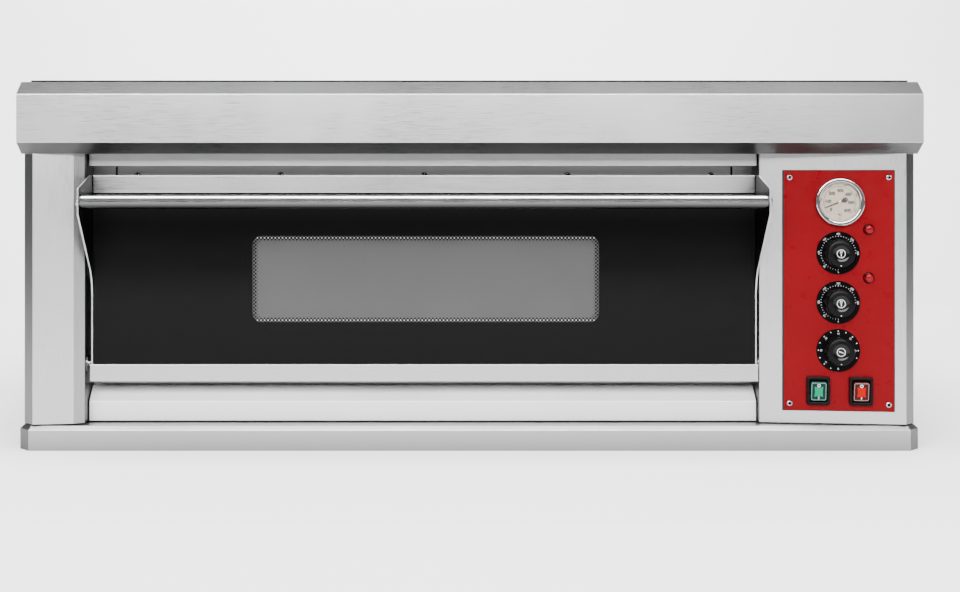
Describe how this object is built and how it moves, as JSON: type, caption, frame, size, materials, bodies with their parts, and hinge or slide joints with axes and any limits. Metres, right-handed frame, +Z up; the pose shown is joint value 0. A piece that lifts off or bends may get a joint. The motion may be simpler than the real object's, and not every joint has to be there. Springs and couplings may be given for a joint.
{
  "type": "deck oven",
  "caption": "Single-deck electric bakery oven: stainless casing, drop-down glass door with a bar handle, heated stone chamber, and a side control panel with gauge, knobs and rockers.",
  "frame": {"origin": "on the floor plane, at the middle of the oven's outer box", "axes": "+X to the right across the front, +Y from the front to the back, +Z up"},
  "size_m": [1.22, 0.844, 0.5],
  "materials": {
    "stainless": "satin brushed stainless sheet",
    "stainless_dark": "brushed stainless plinth and inner strips",
    "galvanised": "zinc-coated sheet",
    "aluminised": "heat-toned aluminised chamber sheet",
    "handle_steel": "polished stainless bar",
    "black_glass": "black enamelled tempered glass with a clear window",
    "clear_glass": "clear heat-resistant glass",
    "red_plate": "glossy red control plate",
    "black_plastic": "moulded black",
    "screw_steel": "zinc-plated screws and pins",
    "cream_dial": "printed cream dial",
    "needle_black": "black enamelled needle",
    "red_lens": "red pilot lens",
    "green_rocker": "translucent green rocker",
    "red_rocker": "translucent red rocker",
    "stone": "refractory baking stone",
    "element_sheath": "oxidised heating element sheath",
    "wool": "mineral wool",
    "gasket": "braided glass-fibre rope seal",
    "ceramic": "ceramic terminal block",
    "grey_plastic": "moulded grey"
  },
  "bodies": {
    "oven_body": {"bake_timer": "grey_plastic", "cable_gland": "grey_plastic", "chamber_front_frame": "stainless", "chamber_liner": "aluminised", "compartment_wall": "galvanised", "contactors": "black_plastic", "control_plate": "red_plate", "control_plate_screws": "screw_steel", "dial_plates": "black_plastic", "flue_spigot": "stainless", "front_hood": "stainless", "gauge_case": "handle_steel", "gauge_dial": "cream_dial", "gauge_lens": "clear_glass", "header_screws": "screw_steel", "hearth_plate": "stone", "hearth_supports": "aluminised", "hinge_bushes": "screw_steel", "insulation_bottom": "wool", "insulation_rear": "wool", "insulation_sides": "wool", "insulation_top": "wool", "lamp_bulb": "clear_glass", "lamp_glass_cover": "clear_glass", "lamp_holder": "galvanised", "left_column_cover": "stainless", "left_side_panel": "stainless", "lintel_strip": "stainless", "lower_fascia": "stainless", "lower_heating_elements": "element_sheath", "pilot_lamp_domes": "red_lens", "pilot_lamp_housings": "black_plastic", "plinth_frame": "stainless_dark", "rear_panel": "galvanised", "right_column_cover": "stainless", "right_side_panel": "stainless", "switch_housings": "black_plastic", "temperature_probes": "screw_steel", "terminal_block": "ceramic", "thermostats": "grey_plastic", "top_cover": "stainless_dark", "upper_element_hangers": "aluminised", "upper_heating_elements": "element_sheath"},
    "door": {"door_outer_glass": "black_glass", "door_inner_glass": "clear_glass", "door_inner_panel": "stainless", "door_gasket": "gasket", "door_bottom_rail": "stainless", "door_top_flange": "stainless", "door_left_side_plate": "stainless", "door_right_side_plate": "stainless", "handle_bar": "handle_steel", "handle_end_caps": "screw_steel", "hinge_pins": "screw_steel"},
    "upper_thermostat_knob": {"upper_thermostat_knob": "black_plastic"},
    "lower_thermostat_knob": {"lower_thermostat_knob": "black_plastic"},
    "timer_knob": {"timer_knob": "black_plastic"},
    "green_rocker": {"green_rocker": "green_rocker"},
    "red_rocker": {"red_rocker": "red_rocker"},
    "gauge_needle": {"gauge_needle": "needle_black"}
  },
  "joints": [
    {"name": "door_hinge", "type": "hinge", "parent": "oven_body", "child": "door", "pos_m": [-0.0613, -0.331, 0.114], "axis": [1, 0, 0], "range_deg": [0, 90]},
    {"name": "upper_thermostat_turn", "type": "hinge", "parent": "oven_body", "child": "upper_thermostat_knob", "pos_m": [0.49948, -0.36007, 0.2662], "axis": [0.1045, 0.9945, 0], "range_deg": [0, 270]},
    {"name": "lower_thermostat_turn", "type": "hinge", "parent": "oven_body", "child": "lower_thermostat_knob", "pos_m": [0.49948, -0.36007, 0.1992], "axis": [0.1045, 0.9945, 0], "range_deg": [0, 270]},
    {"name": "timer_turn", "type": "hinge", "parent": "oven_body", "child": "timer_knob", "pos_m": [0.49948, -0.36007, 0.1342], "axis": [0.1045, 0.9945, 0], "range_deg": [0, 270]},
    {"name": "green_rocker_tip", "type": "hinge", "parent": "oven_body", "child": "green_rocker", "pos_m": [0.47293, -0.35728, 0.0795], "axis": [-0.9945, 0.1045, 0], "range_deg": [0, 18]},
    {"name": "red_rocker_tip", "type": "hinge", "parent": "oven_body", "child": "red_rocker", "pos_m": [0.52892, -0.36316, 0.0795], "axis": [-0.9945, 0.1045, 0], "range_deg": [0, 18]},
    {"name": "gauge_needle_sweep", "type": "hinge", "parent": "oven_body", "child": "gauge_needle", "pos_m": [0.50158, -0.35928, 0.3352], "axis": [0.1045, 0.9945, 0], "range_deg": [-20, 250]}
  ]
}
